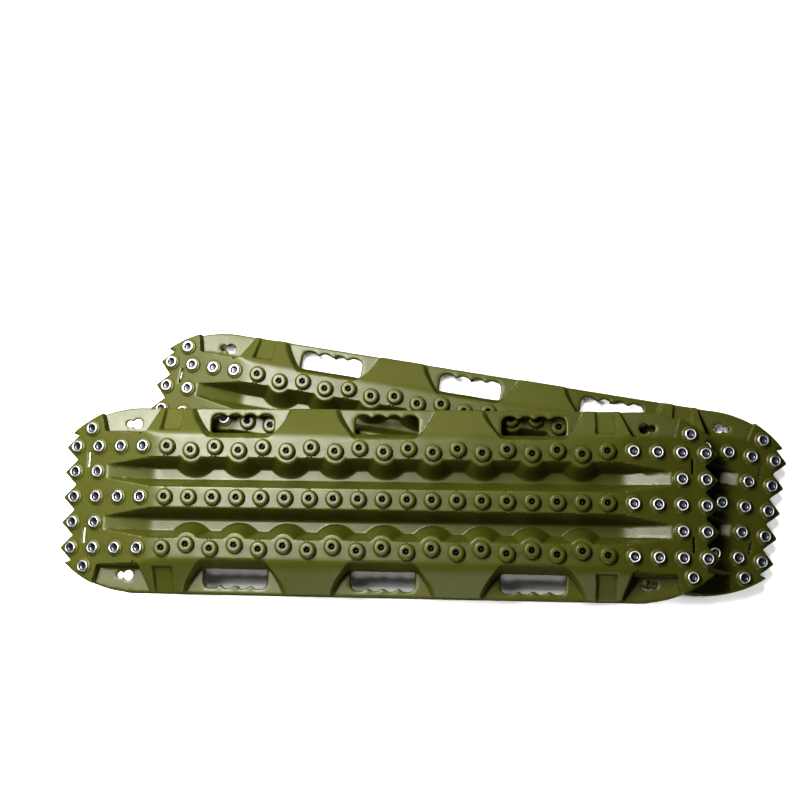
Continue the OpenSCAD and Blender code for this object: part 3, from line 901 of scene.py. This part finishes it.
def nylon(name, shade):
    """Olive moulded nylon: fine grain, satin sheen, faint clouding, paler convex edges that are painted
    highlight mixed with wear, and painted shade in concave corners and creases.

    Shade darkens it all.
    """
    material, nodes, links, shader = new_material(name)
    coords = nodes.new("ShaderNodeTexCoord").outputs["Object"]
    cloud = noise(nodes, links, coords, 9.0, 4.0)
    speck = noise(nodes, links, coords, 420.0, 2.0)
    colour = ramp(nodes, links, cloud, (0.103, 0.107, 0.015), (0.117, 0.121, 0.019))
    specks = ramp(nodes, links, speck, (0.06, 0.065, 0.01), (0.18, 0.185, 0.04))
    colour = mix(nodes, links, 0.10, colour, specks)
    edge = nodes.new("ShaderNodeNewGeometry").outputs["Pointiness"]
    # Painted highlight mixed with wear: convex edges turned paler, in patches.
    edge_highlight = ramp(nodes, links, edge, 0.0, 1.0, 0.54, 0.66)
    scuff = ramp(nodes, links, noise(nodes, links, coords, 60.0, 5.0, 0.7), 0.0, 0.55, 0.35, 0.75)
    highlight_and_wear = mix(nodes, links, 1.0, edge_highlight, scuff, "MULTIPLY")
    colour = mix(nodes, links, highlight_and_wear, colour, (0.16, 0.165, 0.04))
    # Painted shade: concave corners and creases darkened towards near black.
    crease_shade = ramp(nodes, links, edge, 0.85, 0.0, 0.40, 0.485)
    colour = mix(nodes, links, crease_shade, colour, (0.018, 0.019, 0.004))
    colour = mix(nodes, links, 1.0, colour, (shade, shade, shade), "MULTIPLY")
    links.new(colour, shader.inputs["Base Color"])
    rough = ramp(nodes, links, noise(nodes, links, coords, 35.0, 5.0), 0.31, 0.37)
    links.new(rough, shader.inputs["Roughness"])
    shader.inputs["IOR"].default_value = 1.52
    grain = noise(nodes, links, coords, 1100.0, 3.0, 0.6)
    waves = noise(nodes, links, coords, 28.0, 2.0)
    normal = bump(nodes, links, waves, 0.05, 0.004)
    links.new(bump(nodes, links, grain, 0.25, 0.0003, normal), shader.inputs["Normal"])
    return material


def steel(name, dark, light):
    """Turned steel with faint scratches."""
    material, nodes, links, shader = new_material(name)
    coords = nodes.new("ShaderNodeTexCoord").outputs["Object"]
    scratch = noise(nodes, links, coords, 900.0, 5.0, 0.75)
    links.new(ramp(nodes, links, noise(nodes, links, coords, 90.0), dark, light),
              shader.inputs["Base Color"])
    shader.inputs["Metallic"].default_value = 1.0
    links.new(ramp(nodes, links, scratch, 0.22, 0.36), shader.inputs["Roughness"])
    links.new(bump(nodes, links, scratch, 0.12, 0.0001), shader.inputs["Normal"])
    return material


def zinc():
    """Zinc plated steel: duller, with a faint mottle."""
    material, nodes, links, shader = new_material("zinc_plate")
    coords = nodes.new("ShaderNodeTexCoord").outputs["Object"]
    mottle = noise(nodes, links, coords, 260.0, 4.0)
    links.new(ramp(nodes, links, mottle, (0.50, 0.52, 0.54), (0.68, 0.69, 0.70)), shader.inputs["Base Color"])
    shader.inputs["Metallic"].default_value = 1.0
    links.new(ramp(nodes, links, mottle, 0.34, 0.5), shader.inputs["Roughness"])
    links.new(bump(nodes, links, mottle, 0.1, 0.0002), shader.inputs["Normal"])
    return material


def floor_material():
    """Plain matt paper."""
    material, _, _, shader = new_material("pale_floor")
    shader.inputs["Base Color"].default_value = (0.6, 0.6, 0.6, 1)
    shader.inputs["Roughness"].default_value = 0.9
    return material


# ---------------------------------------------------------------- pieces

def centre_of(node):
    """Middle of a CAD node's box."""
    low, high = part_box(node)
    return (low + high) / 2


def board_matrix(board):
    """Where a board lies: its centre, and the turn of its row of centre studs."""
    left, right = centre_of(f"{board}_left_centre_studs"), centre_of(f"{board}_right_centre_studs")
    middle = centre_of(f"{board}_deck")
    low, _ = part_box(f"{board}_deck")
    along = right - left
    return (Matrix.Translation((middle.x, middle.y, low.z))
            @ Matrix.Rotation(math.atan2(along.y, along.x), 4, "Z"))


def piece(name, mesh, materials, board, node):
    """One piece of a board, in place of its CAD node."""
    obj = bpy.data.objects.new(name, mesh)
    if not mesh.materials:
        for material in materials:
            mesh.materials.append(material)
    bpy.context.scene.collection.objects.link(obj)
    obj.matrix_world = board_matrix(board)
    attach(obj, f"{board}_board")
    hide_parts(node)
    return obj


def build_boards():
    """Both boards, which share their meshes. Returns the metal pieces."""
    # The second nylon, darkened to 0.22, is painted shade for the knob sockets.
    nylons = (nylon("olive_nylon", 1.0), nylon("painted_shade_nylon", 0.22))
    # The second steel is painted shade for the stud dishes and sockets.
    steels = (steel("turned_steel", (0.78, 0.79, 0.82), (0.90, 0.90, 0.92)),
              steel("painted_shade_steel", (0.10, 0.11, 0.12), (0.26, 0.27, 0.29)))
    zincs = (zinc(),)
    deck = board_mesh()
    sets = {}
    for side, s in (("left", -1), ("right", 1)):
        for kind in STUD_KINDS:
            places = [(s * x, y) for x, y in stud_places(kind)]
            sets[f"{side}_{kind}_studs"] = (stud_set(places), steels, "stud")
        places = [(s * x, y) for x, y in end_studs()]
        sets[f"{side}_washers"] = (washer_set(places), zincs, "washer")
        sets[f"{side}_nuts"] = (nut_set(places), zincs, "nut")
    metal = []
    for board in ("lower", "upper"):
        piece(f"{board}_moulding", deck, nylons, board, f"{board}_deck")
        for name, (mesh, materials, slot) in sets.items():
            metal.append(piece(f"{board}_{name}_turned", mesh, materials, board, f"{board}_{name}"))
    return metal


# ---------------------------------------------------------------- floor, light and camera

def build_stage():
    """The floor, which lights the boards' hollows but isn't mirrored in their sheen."""
    bpy.ops.mesh.primitive_plane_add(size=30, location=(0, 0, 0))
    floor = bpy.context.object
    floor.name = "floor"
    floor.data.materials.append(floor_material())
    floor.visible_glossy = False
    return floor


def soft_light(name, at, target, width, depth, watts):
    """A rectangular lamp that looks from a place towards a target."""
    data = bpy.data.lights.new(name, "AREA")
    data.shape = "RECTANGLE"
    data.size, data.size_y = width, depth
    data.energy = watts
    light = bpy.data.objects.new(name, data)
    light.location = at
    light.rotation_mode = "QUATERNION"
    light.rotation_quaternion = (Vector(target) - Vector(at)).to_track_quat("-Z", "Y")
    bpy.context.scene.collection.objects.link(light)
    return light


def only_for(light, name, objects):
    """Lets a light fall on these objects only."""
    group = bpy.data.collections.new(name)
    for obj in objects:
        group.objects.link(obj)
    light.light_linking.receiver_collection = group


def build_lights(floor, metal):
    """A softbox and low fills for the boards, a panel for the metal, and lamps that whiten the floor."""
    soft_light("softbox", (-0.72, 0.40, 2.0), (-1.15, 0.40, 0.0), 0.7, 0.65, 30)
    soft_light("back_left", (-1.05, 1.40, 2.0), (-1.5, 1.2, 0.0), 1.1, 0.6, 50)
    soft_light("left_low", (-1.9, 1.9, 0.9), (0, 0, 0), 1.2, 1.0, 9)
    soft_light("back_low", (0.0, 2.5, 0.9), (0, 0, 0), 1.6, 1.0, 4)
    soft_light("front_fill", (0.0, -2.5, 0.9), (0, 0, 0), 1.6, 1.0, 10)
    panel = soft_light("metal_panel", (0.0, 0.3, 2.6), (0.0, 0.3, 0.0), 3.2, 1.4, 20)
    only_for(panel, "metal_only", metal)
    floor_lamps = (("floor_front", (0.1, -1.1, 2.8), 20), ("floor_back", (0.1, 1.6, 2.6), 60),
                   ("floor_left", (-2.6, -0.2, 1.8), 220), ("floor_right", (2.6, 0.0, 1.8), 60))
    for name, at, watts in floor_lamps:
        only_for(soft_light(name, at, (0, 0, 0), 0.5, 0.2, watts), name + "_only", [floor])
    world = bpy.data.worlds.new("room")
    world.use_nodes = True
    background = world.node_tree.nodes["Background"]
    background.inputs["Color"].default_value = (1, 1, 1, 1)
    background.inputs["Strength"].default_value = 0.005
    bpy.context.scene.world = world


def build_camera():
    """Nearly overhead, a little from the front and the right, and turned slightly about its view."""
    data = bpy.data.cameras.new("camera")
    data.sensor_width = 36
    data.lens = 56.97
    camera = bpy.data.objects.new("camera", data)
    at, target = Vector((0.1311, -0.2957, 2.1084)), Vector((-0.0391, 0.0956, 0.08))
    roll = math.radians(1.36)
    forward = (target - at).normalized()
    right = forward.cross(Vector((0, 1, 0))).normalized()
    up = right.cross(forward)
    c, s = math.cos(roll), math.sin(roll)
    right, up = right * c + up * s, up * c - right * s
    camera.matrix_world = Matrix.Translation(at) @ Matrix((right, up, -forward)).transposed().to_4x4()
    data.clip_start, data.clip_end = 0.05, 50
    bpy.context.scene.collection.objects.link(camera)
    bpy.context.scene.camera = camera


bpy.context.scene.view_settings.view_transform = "Standard"
bpy.context.scene.view_settings.look = "High Contrast"
build_camera()
build_lights(build_stage(), build_boards())

bpy.context.view_layer.update()
